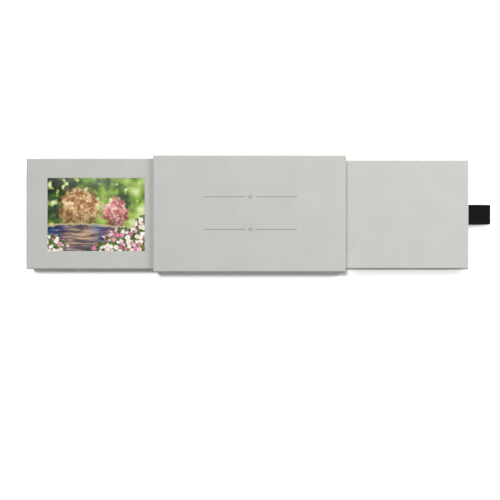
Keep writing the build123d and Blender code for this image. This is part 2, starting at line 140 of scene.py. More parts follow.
# The near zone is behind the object and round the pull card. Each pair is where the zone isn't at all
# and where it is in full.
NEAR_BEHIND = (24, 28)  # in y
NEAR_RIGHT = (46, 58)  # in x
NEAR_WIDTH = (80, 60)  # in y, on both sides of 0
NEAR_MIDDLE = 32  # in x
NEAR_LENGTH = (146, 134)  # in x, on both sides of that


def make_camera():
    camera = bpy.data.objects.new("camera", bpy.data.cameras.new("camera"))
    camera.data.lens = LENS
    camera.data.sensor_width = SENSOR
    camera.data.clip_start = 0.01
    camera.location = Vector(CAMERA_PLACE) * MM
    bpy.context.collection.objects.link(camera)
    bpy.context.scene.camera = camera


def make_lamp(name, kind, place, target, energy, size, mirrored):
    """A sun or a square softbox, aimed at a target."""
    light = bpy.data.lights.new(name, kind)
    light.energy = energy
    if kind == "SUN":
        light.angle = radians(size)
    else:
        light.shape = "SQUARE"
        light.size = size * MM
    lamp = bpy.data.objects.new(name, light)
    lamp.location = Vector(place) * MM
    direction = Vector(target) * MM - lamp.location
    lamp.rotation_euler = direction.to_track_quat("-Z", "Y").to_euler()
    lamp.visible_glossy = mirrored
    bpy.context.collection.objects.link(lamp)


def make_world():
    """Soft white light from all round. Past the floor, the camera sees plain white."""
    world = bpy.data.worlds.new("studio")
    world.use_nodes = True
    sky = Nodes(world.node_tree)
    white = (1, 1, 1, 1)
    soft = sky.tree.nodes["Background"]
    sky.feed(soft.inputs["Color"], white)
    sky.feed(soft.inputs["Strength"], WORLD_STRENGTH)
    plain = sky.add("ShaderNodeBackground", {"Color": white, "Strength": 1.0})
    looked_at = sky.add("ShaderNodeLightPath").outputs["Is Camera Ray"]
    mix = sky.add("ShaderNodeMixShader", {0: looked_at, 1: soft.outputs[0], 2: plain.outputs[0]})
    sky.feed(sky.tree.nodes["World Output"].inputs["Surface"], mix.outputs[0])
    bpy.context.scene.world = world


def floor_material():
    """White, and lighter where it is looked at, so that the softbox's long shadows don't show. It is
    less so in the near zone, where none of them falls, to keep the object's edges there crisp."""
    material = bpy.data.materials.new("floor")
    material.use_nodes = True
    floor = Nodes(material.node_tree)
    floor.tree.nodes.remove(floor.tree.nodes["Principled BSDF"])
    path = floor.add("ShaderNodeLightPath").outputs
    looked_at = floor.math("MAXIMUM", path["Is Camera Ray"], path["Is Glossy Ray"])
    looked_at = floor.math("MAXIMUM", looked_at, path["Is Transmission Ray"])
    x, y, _ = floor.axes(floor.object_place())
    near = floor.math("MAXIMUM", floor.step(y, *NEAR_BEHIND), floor.step(x, *NEAR_RIGHT))
    near = floor.math("MULTIPLY", near, floor.step(floor.math("ABSOLUTE", y), *NEAR_WIDTH))
    from_middle = floor.math("ABSOLUTE", floor.math("SUBTRACT", x, NEAR_MIDDLE * MM))
    near = floor.math("MULTIPLY", near, floor.step(from_middle, *NEAR_LENGTH))
    white = floor.remap(near, 0, 1, FAR_WHITE, NEAR_WHITE)
    tone = floor.remap(looked_at, 0, 1, BOUNCE_WHITE, white)
    surface = floor.add("ShaderNodeBsdfDiffuse", {"Color": tone}).outputs[0]
    floor.feed(floor.tree.nodes["Material Output"].inputs["Surface"], surface)
    return material


def make_floor():
    mesh = bpy.data.meshes.new("floor")
    signs = ((-1, -1), (1, -1), (1, 1), (-1, 1))
    corners = [Vector((FLOOR_HALF * u, FLOOR_HALF * v, FLOOR_LEVEL)) * MM for u, v in signs]
    mesh.from_pydata(corners, [], [(0, 1, 2, 3)])
    mesh.materials.append(floor_material())
    floor = bpy.data.objects.new("floor", mesh)
    bpy.context.collection.objects.link(floor)


# --- Materials ------------------------------------------------------------------------------


class Shader(Nodes):
    """A material round one Principled shader, in object coordinates."""

    def __init__(self, name, roughness, metallic=0.0, specular=0.5):
        self.material = bpy.data.materials.new(name)
        self.material.use_nodes = True
        super().__init__(self.material.node_tree)
        self.surface = self.tree.nodes["Principled BSDF"]
        self.set("Roughness", roughness)
        self.set("Metallic", metallic)
        self.set("Specular IOR Level", specular)
        self.place = self.object_place()
        self.relief = None

    def set(self, name, value):
        self.feed(self.surface.inputs[name], value)

    def stretched(self, x=1.0, y=1.0, z=1.0):
        """Object coordinates, scaled along each axis."""
        values = {"Vector": self.place, "Scale": (x, y, z)}
        return self.add("ShaderNodeMapping", values).outputs[0]

    def noise(self, size, detail=2.0, vector=None, roughness=0.5, output="Fac"):
        """Noise whose blotches are about so large across."""
        values = {"Vector": vector or self.place, "Scale": 1 / (size * MM), "Detail": detail}
        values["Roughness"] = roughness
        return self.add("ShaderNodeTexNoise", values).outputs[output]

    def mix(self, factor, first, second, blend="MIX"):
        node = self.add("ShaderNodeMix", data_type="RGBA", blend_type=blend)
        for index, value in ((0, factor), (6, first), (7, second)):
            self.feed(node.inputs[index], value)
        return node.outputs[2]

    def ramp(self, value, stops):
        """A colour by a value, from (position, colour) pairs."""
        node = self.add("ShaderNodeValToRGB", {"Fac": value})
        points = node.color_ramp.elements
        while len(points) < len(stops):
            points.new(1.0)
        for point, (position, tint) in zip(points, stops):
            point.position = position
            point.color = tint
        return node.outputs[0]

    def paint(self, value):
        self.set("Base Color", value)

    def rough(self, value, low, high):
        self.set("Roughness", self.remap(value, 0.3, 0.7, low, high))

    def bump(self, height, depth, strength=1.0):
        """Adds relief of such a depth to what is there already."""
        values = {"Height": height, "Distance": depth * MM, "Strength": strength}
        if self.relief is not None:
            values["Normal"] = self.relief
        self.relief = self.add("ShaderNodeBump", values).outputs[0]
        self.set("Normal", self.relief)


PAPER_PALE = colour(209, 210, 206)
PAPER_DEEP = colour(205, 206, 201)
PAPER_FIBRE = colour(186, 187, 180)
PAPER_WORN = colour(190, 189, 168)


def paper_shader(name):
    """Matt laminated art paper: a fine tooth, faint clouding, and creased edges worn to olive."""
    shader = Shader(name, 0.55, specular=0.35)
    cloud = shader.noise(14, 3)
    fibre = shader.noise(0.35, 4, shader.stretched(0.5, 1, 1))
    tooth = shader.noise(0.12, 2)
    base = shader.mix(shader.remap(cloud, 0.35, 0.65), PAPER_DEEP, PAPER_PALE)
    base = shader.mix(shader.remap(fibre, 0.3, 0.75, 0, 0.10), base, PAPER_FIBRE)
    edge = shader.add("ShaderNodeAttribute", attribute_name="edge").outputs["Fac"]
    patches = shader.remap(shader.noise(2.2, 3), 0.38, 0.62, 0.1, 0.7)
    shader.base = shader.mix(shader.math("MULTIPLY", edge, patches), base, PAPER_WORN)
    shader.paint(shader.base)
    shader.rough(shader.noise(1.5, 3), 0.50, 0.66)
    shader.bump(tooth, 0.012, 0.5)
    shader.bump(fibre, 0.02, 0.4)
    shader.bump(cloud, 0.08, 0.5)
    return shader


INK = colour(116, 120, 124)
PRINT_LEVEL = 11.3  # there is print above this height only
RULE_LENGTH = 46.6
RULE_WIDTH = 0.28
RULE_MIDDLE = 0.5  # of both rules, along the sleeve
RULE_OFFSETS = (8.4, -7.9)
LOZENGE = 1.3  # half its length
LOZENGE_SLOPE = 1.25  # its length over its width
LOZENGE_LINE = 0.448  # width of its line, along the rule


def printed_paper():
    """The sleeve's paper, with two plain thin rules, each with a lozenge in its middle."""
    shader = paper_shader("printed_paper")
    math = shader.math
    place = shader.axes(shader.place)
    x = math("ABSOLUTE", math("SUBTRACT", place[0], RULE_MIDDLE * MM))
    in_reach = math("LESS_THAN", x, RULE_LENGTH / 2 * MM)
    in_reach = math("MULTIPLY", in_reach, math("GREATER_THAN", x, 2 * LOZENGE * MM))
    marks = []
    for offset in RULE_OFFSETS:
        y = math("ABSOLUTE", math("SUBTRACT", place[1], offset * MM))
        rule = math("MULTIPLY", math("LESS_THAN", y, RULE_WIDTH / 2 * MM), in_reach)
        around = math("ADD", x, math("MULTIPLY", y, LOZENGE_SLOPE))
        outer = math("LESS_THAN", around, LOZENGE * MM)
        inner = math("GREATER_THAN", around, (LOZENGE - LOZENGE_LINE) * MM)
        marks.append(math("MAXIMUM", rule, math("MULTIPLY", outer, inner)))
    ink = math("MULTIPLY", math("MAXIMUM", *marks), math("GREATER_THAN", place[2], PRINT_LEVEL * MM))
    ink = math("MULTIPLY", ink, shader.remap(shader.noise(0.25, 2), 0.3, 0.6, 0.75, 1.0))
    shader.paint(shader.mix(ink, shader.base, INK))
    return shader.material


def greyboard_material():
    """Raw recycled board, speckled with fibres."""
    shader = Shader("greyboard", 0.9, specular=0.2)
    fibre = shader.noise(0.25, 4, shader.stretched(0.4, 1, 1))
    fleck = shader.noise(0.7, 2)
    base = shader.ramp(fibre, [(0.3, colour(128, 124, 114)), (0.7, colour(166, 161, 150))])
    shader.paint(shader.mix(shader.remap(fleck, 0.62, 0.72, 0, 0.6), base, colour(104, 99, 90)))
    shader.rough(fibre, 0.85, 0.98)
    shader.bump(fibre, 0.04)
    return shader.material


WARP_THREAD = 0.22


def ribbon_material():
    """Black grosgrain: fine warp threads over the ribs, with the sheen of polyester."""
    shader = Shader("ribbon", 0.62, specular=0.08)
    values = {"Vector": shader.place, "Scale": 1 / (pi * WARP_THREAD * MM)}
    threads = shader.add("ShaderNodeTexWave", values, bands_direction="Y").outputs["Fac"]
    worn = shader.noise(0.8, 3)
    base = shader.mix(shader.remap(threads, 0.2, 0.9), colour(12, 12, 13), colour(27, 28, 30))
    shader.paint(shader.mix(shader.remap(worn, 0.45, 0.7, 0, 0.5), base, colour(36, 37, 40)))
    shader.rough(worn, 0.55, 0.75)
    shader.set("Sheen Weight", 0.04)
    shader.set("Sheen Roughness", 0.4)
    shader.bump(threads, 0.03, 0.8)
    return shader.material


def metal_material(name, tint, roughness, scratch=0.2):
    """Plated metal or foil with fine scratches and duller patches."""
    shader = Shader(name, roughness, metallic=1.0)
    lines = shader.noise(scratch, 3, shader.stretched(0.1, 1, 1))
    dull = shader.noise(2.0, 3)
    shader.paint(shader.mix(shader.remap(dull, 0.35, 0.7), tint, scaled(tint, 0.8)))
    shader.rough(lines, roughness - 0.06, roughness + 0.12)
    shader.bump(lines, 0.006, 0.6)
    return shader.material


def moulded_material(name, tint, roughness, grain=0.15, depth=0.01, variation=1.25):
    """Moulded plastic, foam or film with a fine grain."""
    shader = Shader(name, roughness)
    fine = shader.noise(grain, 2)
    broad = shader.noise(12 * grain, 2)
    shader.paint(shader.mix(shader.remap(broad, 0.35, 0.65), tint, scaled(tint, variation)))
    shader.rough(broad, roughness - 0.05, roughness + 0.1)
    shader.bump(fine, depth, 0.6)
    return shader.material


def film_material():
    """Clear polyester film, faintly scuffed along its run."""
    shader = Shader("clear_film", 0.08)
    scuff = shader.noise(0.6, 3, shader.stretched(0.05, 1, 1))
    clear, dull = colour(244, 247, 250), colour(214, 218, 222)
    shader.paint(shader.mix(shader.remap(scuff, 0.5, 0.8, 0, 0.3), clear, dull))
    shader.rough(scuff, 0.06, 0.22)
    shader.set("Transmission Weight", 0.9)
    shader.set("IOR", 1.5)
    shader.bump(scuff, 0.004, 0.5)
    return shader.material


def tape_material():
    """Tissue tape, yellowish where its fibres thin out."""
    shader = Shader("adhesive_tape", 0.45, specular=0.4)
    tissue = shader.noise(0.5, 4, shader.stretched(1, 0.4, 1))
    shader.paint(shader.ramp(tissue, [(0.3, colour(226, 222, 205)), (0.7, colour(242, 240, 230))]))
    shader.rough(tissue, 0.4, 0.6)
    shader.bump(tissue, 0.01)
    return shader.material


def board_material():
    """Green solder mask with a faint pattern of covered tracks."""
    shader = Shader("board_green", 0.35)
    values = {"Vector": shader.place, "Scale": 1 / (2.4 * MM), "Mortar Size": 0.06}
    tracks = shader.add("ShaderNodeTexBrick", values).outputs["Fac"]
    shader.paint(shader.mix(tracks, colour(20, 92, 52), colour(46, 132, 76)))
    shader.rough(shader.noise(1.2, 2), 0.28, 0.42)
    shader.bump(tracks, 0.02)
    return shader.material


# --- The picture on the screen --------------------------------------------------------------
# Places and sizes in the picture are fractions of its width and height, from its lower left corner.


class Picture(Shader):
    """Gloss glass over a lit picture, with u and v from 0 to 1 across it."""

    def __init__(self, low, high):
        super().__init__("screen_glass", 0.14, specular=0.25)
        place = self.axes(self.place)
        self.u, self.v = (
            self.remap(place[k], low[k] * MM, high[k] * MM, clamp=False) for k in (0, 1)
        )

    def drifting(self, size, amount):
        """Object coordinates pushed about by noise of such a size, by such an amount."""
        node = self.add("ShaderNodeVectorMath", operation="MULTIPLY_ADD")
        push = self.noise(size, output="Color")
        for socket, value in zip(node.inputs, (push, (amount * MM,) * 3, self.place)):
            self.feed(socket, value)
        return node.outputs[0]

    def cells(self, size, vector):
        """Distance to the middle of each cell, and a number from 0 to 1 that differs by cell."""
        values = {"Vector": vector, "Scale": 1 / (size * MM)}
        node = self.add("ShaderNodeTexVoronoi", values)
        tint = self.add("ShaderNodeSeparateColor", {"Color": node.outputs["Color"]})
        return node.outputs["Distance"], tint.outputs[1]

    def ellipse(self, middle, half, soft, ragged, size):
        """1 inside an ellipse and 0 outside it, with a soft edge that noise makes ragged."""
        squares = []
        for value, centre, reach in zip((self.u, self.v), middle, half):
            offset = self.math("DIVIDE", self.math("SUBTRACT", value, centre), reach)
            squares.append(self.math("MULTIPLY", offset, offset))
        far = self.math("SQRT", self.math("ADD", *squares))
        wobble = self.remap(self.noise(size, 3), 0.2, 0.8, -ragged, ragged)
        return self.remap(self.math("ADD", far, wobble), 1 - soft, 1 + soft, 1, 0, smooth=True)


def garden(picture):
    """Out-of-focus leaves: dark on the left, sunlit on the right."""
    leaves = picture.noise(10, 3, roughness=0.55)
    lit = picture.math("ADD", leaves, picture.remap(picture.u, 0, 1, -0.12, 0.12))
    base = picture.ramp(lit, [
        (0.30, colour(20, 34, 14)),
        (0.42, colour(50, 80, 26)),
        (0.52, colour(104, 142, 42)),
        (0.62, colour(156, 186, 74)),
        (0.74, colour(214, 228, 160)),
    ])
    spots = picture.noise(3.4, 1)
    halo = picture.remap(spots, 0.56, 0.68, 0, 0.8, smooth=True)
    base = picture.mix(halo, base, colour(158, 184, 78), "LIGHTEN")
    glare = picture.remap(spots, 0.64, 0.76, 0, 0.9, smooth=True)
    return picture.mix(glare, base, colour(236, 241, 196))


def shrub(picture, base, middle, half, tones):
    """A round flowering shrub, lit from above, with its lightest blossoms in small clumps."""
    near, tint = picture.cells(1.25, picture.drifting(1.6, 1.3))
    clumps = picture.remap(picture.noise(3.6, 2), 0.3, 0.7, -0.30, 0.30)
    tone = picture.math("ADD", picture.remap(tint, 0, 1, 0.3, 0.7), clumps)
    tone = picture.math("SUBTRACT", tone, picture.remap(near, 0.25, 0.7, 0, 0.25))
    texture = picture.ramp(tone, list(zip((0.12, 0.42, 0.72), tones)))
    foot, waist = middle[1] - half[1], middle[1] + 0.3 * half[1]
    shade = picture.remap(picture.v, foot, waist, 0.65, 0, smooth=True)
    texture = picture.mix(shade, texture, colour(64, 70, 34))
    return picture.mix(picture.ellipse(middle, half, 0.16, 0.36, 2.6), base, texture)


def lake(picture, base, glints):
    """Dark blue water with a pale shore, and the shrubs' light on its ripples."""
    ripples = picture.noise(2.0, 3, picture.stretched(0.22, 1.5, 1))
    water = picture.ramp(ripples, [
        (0.34, colour(20, 30, 62)),
        (0.54, colour(42, 58, 104)),
        (0.74, colour(128, 148, 184)),
    ])
    for middle, half, tint in glints:
        streaks = picture.remap(ripples, 0.40, 0.60, 0.15, 0.8)
        glint = picture.math("MULTIPLY", picture.ellipse(middle, half, 0.6, 0.2, 1.6), streaks)
        water = picture.mix(glint, water, tint)
    wave = picture.math("SINE", picture.math("MULTIPLY", picture.u, 5.0))
    shore = picture.math("ADD", 0.33, picture.math("MULTIPLY", wave, 0.03))
    ragged = picture.remap(picture.noise(2.4, 3), 0.3, 0.7, -0.015, 0.015)
    depth = picture.math("SUBTRACT", picture.math("ADD", shore, ragged), picture.v)
    sand = picture.remap(depth, -0.04, -0.012, 0, 0.9, smooth=True)
    base = picture.mix(sand, base, colour(196, 182, 140))
    return picture.mix(picture.remap(depth, -0.012, 0.012, smooth=True), base, water)


def blossoms(picture, base, clusters):
    """Foreground flowers in white, cream and pink between leaves."""
    near, tint = picture.cells(2.3, picture.drifting(1.8, 1.5))
    petals = picture.ramp(tint, [
        (0.0, colour(252, 250, 246)),
        (0.34, colour(250, 238, 226)),
        (0.52, colour(244, 196, 210)),
        (0.70, colour(226, 134, 170)),
        (0.86, colour(196, 96, 140)),
    ])
    heart = picture.remap(near, 0.10, 0.17, 1, 0, smooth=True)
    petals = picture.mix(heart, petals, colour(226, 196, 92))
    leaves = [(0.4, colour(44, 66, 24)), (0.6, colour(116, 140, 62))]
    leaves = picture.ramp(picture.noise(0.9, 2), leaves)
    petals = picture.mix(picture.remap(near, 0.42, 0.60, smooth=True), petals, leaves)
    for middle, half in clusters:
        base = picture.mix(picture.ellipse(middle, half, 0.05, 0.38, 1.8), base, petals)
    return base


ORANGE_TONES = (colour(150, 100, 60), colour(214, 166, 112), colour(246, 222, 178))
ROSE_TONES = (colour(164, 84, 84), colour(226, 154, 148), colour(250, 212, 204))
# Each of the following starts with its middle and its half width and height.
SHRUBS = (
    ((0.33, 0.58), (0.20, 0.27), ORANGE_TONES),
    ((0.70, 0.52), (0.13, 0.20), ROSE_TONES),
)
GLINTS = (
    ((0.33, 0.19), (0.16, 0.19), colour(222, 180, 134)),
    ((0.69, 0.22), (0.10, 0.13), colour(214, 150, 148)),
)
CLUSTERS = (
    ((0.84, 0.12), (0.26, 0.20)),
    ((0.60, 0.0), (0.16, 0.14)),
    ((0.98, 0.32), (0.09, 0.16)),
    ((0.03, 0.03), (0.17, 0.22)),
)
SCREEN_LIGHT = 0.95


def picture_material(low, high):
    """A soft-focus garden with a lake and flowering shrubs, lit from behind, in a black border."""
    picture = Picture(low, high)
    view = garden(picture)
    for place in SHRUBS:
        view = shrub(picture, view, *place)
    view = blossoms(picture, lake(picture, view, GLINTS), CLUSTERS)
    inside = []
    for value in (picture.u, picture.v):
        off_middle = picture.math("ABSOLUTE", picture.math("SUBTRACT", value, 0.5))
        inside.append(picture.math("LESS_THAN", off_middle, 0.5))
    lit = picture.mix(picture.math("MULTIPLY", *inside), colour(4, 4, 5), view)
    picture.paint(colour(14, 15, 17))
    picture.set("Emission Color", lit)
    picture.set("Emission Strength", SCREEN_LIGHT)
    smear = picture.noise(7, 3)
    picture.rough(smear, 0.11, 0.18)
    picture.bump(smear, 0.01, 0.3)
    return picture.material


# --- Meshes ---------------------------------------------------------------------------------


def box_of(node):
    """A node's lowest and highest corner."""
    return [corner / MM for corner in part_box(node)]


def add_piece(name, points, faces, body, material, replaced, edge=None):
    """A smooth-shaded mesh that rides on a body in place of nodes of the part. edge says how far
    each point lies on a worn edge, from 0 to 1."""
    mesh = bpy.data.meshes.new(name)
    mesh.from_pydata([Vector(p) * MM for p in points], [], faces)
    work = bmesh.new()
    work.from_mesh(mesh)
    bmesh.ops.recalc_face_normals(work, faces=work.faces)
    work.to_mesh(mesh)
    work.free()
    mesh.shade_smooth()
    if edge:
        layer = mesh.attributes.new("edge", "FLOAT", "POINT")
        layer.data.foreach_set("value", edge)
    mesh.materials.append(material)
    piece = bpy.data.objects.new(name, mesh)
    bpy.context.collection.objects.link(piece)
    piece.modifiers.new("normals", "WEIGHTED_NORMAL").keep_sharp = True
    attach(piece, body)
    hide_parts(*replaced)
    return piece


def rounded_loop(half_u, half_v, radius, marks, centre=(0.0, 0.0)):
    """Points anticlockwise round a rounded rectangle. marks are fractions of each straight side,
    for the lower, right, upper and left side, each in the direction of travel."""
    run_u, run_v = half_u - radius, half_v - radius
    sides = (
        lambda m: (run_u * m, -half_v), lambda m: (half_u, run_v * m),
        lambda m: (-run_u * m, half_v), lambda m: (-half_u, -run_v * m),
    )
    corners = ((run_u, -run_v, -90), (run_u, run_v, 0), (-run_u, run_v, 90), (-run_u, -run_v, 180))
    points = []
    for side, marks_here, (corner_u, corner_v, start) in zip(sides, marks, corners):
        points += [side(m) for m in marks_here]
        for k in range(ARC + 1):
            angle = radians(start + 90 * k / ARC)
            points.append((corner_u + radius * cos(angle), corner_v + radius * sin(angle)))
    return [(u + centre[0], v + centre[1]) for u, v in points]


def quarter_turn(steps=ARC):
    return [pi / 2 * k / steps for k in range(steps + 1)]


def quads_between(first, second, count, skipped=()):
    """Faces between two rings of points, given by their first index."""
    return [
        (first + k, first + (k + 1) % count, second + (k + 1) % count, second + k)
        for k in range(count)
        if k not in skipped
    ]


# --- Sleeve ---------------------------------------------------------------------------------

MOUTH, _, SLEEVE_HEIGHT = box_of("wrap_top")[1]
SLEEVE_HALF = box_of("wrap_rear")[1][1]
SLEEVE_WALL = 1.35
SLEEVE_RADIUS = 0.8  # of the wrap's four long edges
MOUTH_RADIUS = 0.3
LEAST_RADIUS = 0.1  # of the rings inside a rounded edge
WORN_REACH = 0.6  # how far the wear reaches from an edge

CREASE = 0.04  # depth of the scored creases beside the edges
# Place and half width of the creases, and of the slits that are cut in the turn-in
FLAT_CREASE = (0.9756, 0.0075)  # fractions of the straight half width
WALL_CREASE = (0.755, 0.075)  # fractions of the half height
SLIT = (0.953, 0.0165)  # fractions of the straight half width
# How far the slits run in, by the signs of their x, y and z
SLIT_DEPTHS = {
    (1, 1, 1): 0.75,
    (1, -1, -1): 0.6,
    (1, -1, 1): 0.2,
    (-1, 1, 1): 0.15,
    (-1, -1, -1): 0.25,
}
OTHER_SLITS = 0.1
SLIT_FADE = (1.4, 0.35)  # from the mouth, where a slit starts and where it has its full depth
NEAR_MOUTH = (0.45, 0.7, 1.0, 1.4)  # rings so far from the mouth give the slits their shape
SEAM = 20.0  # where the wrap's ends overlap, on the underside
LAP = 0.05  # step at the seam


def sleeve_stations():
    """(x, inset) through the wrap's thickness, from the middle to one mouth, back under the turned-in
    paper, and the same for the other mouth."""
    wall, r = SLEEVE_WALL, MOUTH_RADIUS
    outer = [(x * MOUTH, 0.0) for x in (0, 0.25, 0.5, 0.75, 0.9)]
    outer += [(MOUTH - d, 0.0) for d in (2.6, *reversed(NEAR_MOUTH))]
    lip = [(MOUTH - r + r * sin(t), r - r * cos(t)) for t in quarter_turn()]
    lip.append((MOUTH, wall / 2))
    lip += [(x, wall - inset) for x, inset in reversed(lip[:-1])]
    turned = [(MOUTH - d, wall) for d in (*NEAR_MOUTH, 4.0, TURN_IN)]
    under = [(MOUTH - TURN_IN, wall - PAPER), (MOUTH - PAPER, wall - PAPER), (MOUTH - PAPER, PAPER)]
    half = outer + lip + turned + under
    return half + [(-x, inset) for x, inset in reversed(half) if x > 0]


def sleeve_marks():
    half = (0.0, 0.2, 0.4, 0.6, 0.683, 0.695, 0.8, 0.90, 0.93, 0.943, 0.948, SLIT[0])
    half += (0.958, 0.963, 0.969, FLAT_CREASE[0], 0.982)
    flat = [-m for m in reversed(half) if m > 0] + list(half)
    upright = [-0.8, -0.72, -0.64, -0.3, 0.0, 0.3, 0.64, 0.72, 0.8]
    return [flat, upright, flat, upright]


def slit_depth(x, inset, y, z, across):
    """How far the paper is drawn in from the mouth at this point."""
    from_mouth = MOUTH - abs(x)
    beneath = from_mouth > 0.1 and inset in (PAPER, SLEEVE_WALL - PAPER)
    on_wall = abs(z) <= SLEEVE_HEIGHT / 2 - inset - 0.01
    start, full = SLIT_FADE
    if from_mouth > start or beneath or on_wall:
        return 0.0
    depth = SLIT_DEPTHS.get((sign(x), sign(y), sign(z)), OTHER_SLITS)
    return depth * peak(across, *SLIT) * min(1.0, (start - from_mouth) / (start - full))


def creased(x, inset, y, z):
    """A point of the wrap with the slits, the creases and the lap pressed into it."""
    radius = max(SLEEVE_RADIUS - inset, LEAST_RADIUS)
    half_v = SLEEVE_HEIGHT / 2 - inset
    across = abs(y) / (SLEEVE_HALF - inset - radius)
    pushed = slit_depth(x, inset, y, z, across)
    if inset < PAPER and abs(z) > half_v - 0.001:
        lap = LAP if z < 0 and y > SEAM else 0.0
        z -= sign(z) * (CREASE * peak(across, *FLAT_CREASE) + lap)
    elif inset < PAPER and abs(y) > SLEEVE_HALF - 0.001:
        y -= sign(y) * CREASE * peak(abs(z) / half_v, *WALL_CREASE)
    return x - pushed * sign(x), y, z


def sleeve_paper():
    points, edge = [], []
    marks = sleeve_marks()
    stations = sleeve_stations()
    for x, inset in stations:
        half_u, half_v = SLEEVE_HALF - inset, SLEEVE_HEIGHT / 2 - inset
        on_lip = abs(x) > MOUTH - MOUTH_RADIUS - 0.01
        for y, z in rounded_loop(half_u, half_v, max(SLEEVE_RADIUS - inset, LEAST_RADIUS), marks):
            point = creased(x, inset, y, z)
            points.append((point[0], point[1], point[2] + SLEEVE_HEIGHT / 2))
            folded = abs(point[1]) > SLEEVE_HALF - WORN_REACH
            folded = folded and abs(point[2]) > SLEEVE_HEIGHT / 2 - WORN_REACH
            edge.append(1.0 if inset < 0.4 and (folded or on_lip) else 0.0)
    count = len(points) // len(stations)
    faces = []
    for n in range(len(stations)):
        faces += quads_between(n * count, (n + 1) % len(stations) * count, count)
    replaced = ("wrap_bottom", "wrap_top", "wrap_front", "wrap_rear")
    add_piece("sleeve_paper", points, faces, "sleeve", printed_paper(), replaced, edge)


# --- Paper skins of the two sliders ---------------------------------------------------------

SUPPORT = 0.06  # a ring so far beyond a rounded edge keeps the flat beside it flat
# Rings round the lining sheet's edge, each by its place beyond the turn-in's edge and its height
LINING_EDGE = ((0.3, 0.0), (0.1, 0.0), (0.0, 0.07), (-0.1, 0.07), (-0.15, 0.0), (-0.4, 0.0))


class Skin:
    """The paper round a flat block, as rings of points at heights above its underside. It has a
    slot in its right end, between two places along y and two heights."""

    def __init__(self, low, high, plan_radius, radius, slot_y, slot_z):
        self.centre = ((low[0] + high[0]) / 2, (low[1] + high[1]) / 2)
        self.half = ((high[0] - low[0]) / 2, (high[1] - low[1]) / 2)
        self.low, self.height = low[2], high[2] - low[2]
        self.plan_radius, self.radius = plan_radius, radius
        self.slot_z = slot_z
        straight = self.half[1] - plan_radius
        slot = [(y - self.centre[1]) / straight for y in slot_y]
        spread = [k / 6 for k in range(-5, 6)]
        right = sorted([m for m in spread if min(abs(m - s) for s in slot) > 0.02] + slot)
        self.marks = [spread, right, spread, spread]
        first = len(spread) + ARC + 1 + right.index(slot[0])
        self.slot_columns = range(first, first + right.index(slot[1]) - right.index(slot[0]))
        self.points, self.edge, self.faces, self.rings = [], [], [], []

    def ring(self, half, radius, z, centre=None, worn=0.0):
        loop = rounded_loop(half[0], half[1], radius, self.marks, centre or self.centre)
        self.rings.append(len(self.points))
        self.points += [(x, y, self.low + z) for x, y in loop]
        self.edge += [worn] * len(loop)
        self.count = len(loop)

    def inset_ring(self, inset, z, worn=0.0):
        half = [h - inset for h in self.half]
        self.ring(half, max(self.plan_radius - inset, LEAST_RADIUS), z, worn=worn)

    def join(self, rings, slotted=()):
        """Quads between successive rings. The slot's columns are left out of the slotted bands."""
        for n, (a, b) in enumerate(zip(rings, rings[1:])):
            self.faces += quads_between(a, b, self.count, self.slot_columns if n in slotted else ())

    def cap(self, ring):
        self.faces.append(tuple(range(ring, ring + self.count)))

    def side(self, inset, worn=0.0):
        """Rings from the underside's edge to the top's, for a wall that lies so far in, and those of
        them that the slot runs through."""
        radius = self.radius - inset
        bend, top = inset + radius, self.height - inset
        insets = {bend - radius * cos(t): radius - radius * sin(t) for t in quarter_turn()}
        for t in quarter_turn():
            insets[top - radius + radius * sin(t)] = radius - radius * cos(t)
        for z in self.slot_z:
            rise = max(bend - z, 0.0)
            insets[z] = radius - sqrt(max(radius**2 - rise**2, 0))
        for z in (bend + SUPPORT, self.height - bend - SUPPORT):
            insets.setdefault(z, 0.0)
        first = len(self.rings)
        ordered = sorted(insets)
        for z in ordered:
            rounded = not bend + 0.01 <= z <= self.height - bend - 0.01
            self.inset_ring(inset + insets[z], z, worn if rounded else 0.0)
        rings = self.rings[first:]
        low, high = (ordered.index(z) for z in self.slot_z)
        self.join(rings, range(low, high))
        return rings, rings[low : high + 1]

    def slot_walls(self, outer, inner):
        """The cut edge of the paper round the slot, between the slot's rings on its two faces."""
        first, last = self.slot_columns[0], self.slot_columns[-1] + 1
        for a, b in ((outer[0], inner[0]), (outer[-1], inner[-1])):
            self.faces += [(a + k, a + k + 1, b + k + 1, b + k) for k in range(first, last)]
        for column in (first, last):
            self.faces.append(tuple(ring + column for ring in outer + inner[::-1]))

    def underside(self):
        """Rings from the lining sheet in its middle out to its edge."""
        first = len(self.rings)
        for beyond, z in LINING_EDGE:
            self.inset_ring(TURN_IN + beyond, z)
        for inset in (6.0, 1.0):
            self.inset_ring(inset, 0.0)
        return self.rings[first:]

    def finish(self, name, body, material, replaced):
        add_piece(name, self.points, self.faces, body, material, replaced, self.edge)


def blended(a, b, share):
    return [x + (y - x) * share for x, y in zip(a, b)]


TRAY_RADIUS = 0.55
TRAY_PLAN_RADIUS = 0.4
PORT_LIP = 0.22  # the paper covers so much of the socket's rim
VIEW = (48.96, 36.72)
GLASS_MARGIN = 2.3  # glass beyond the picture on three sides
WINDOW_EDGE = 0.12  # rounding of the paper into the window
WINDOW_PAPER = 0.06  # the paper stands so far before the cover board's cut edge
WINDOW_CORNER = 0.12  # radius of the window's corners

glass_low, glass_high = box_of("lcd_panel")
WINDOW_LOW = (glass_low[0] + GLASS_MARGIN, (glass_low[1] + glass_high[1] - VIEW[1]) / 2)
WINDOW_HIGH = (WINDOW_LOW[0] + VIEW[0], WINDOW_LOW[1] + VIEW[1])


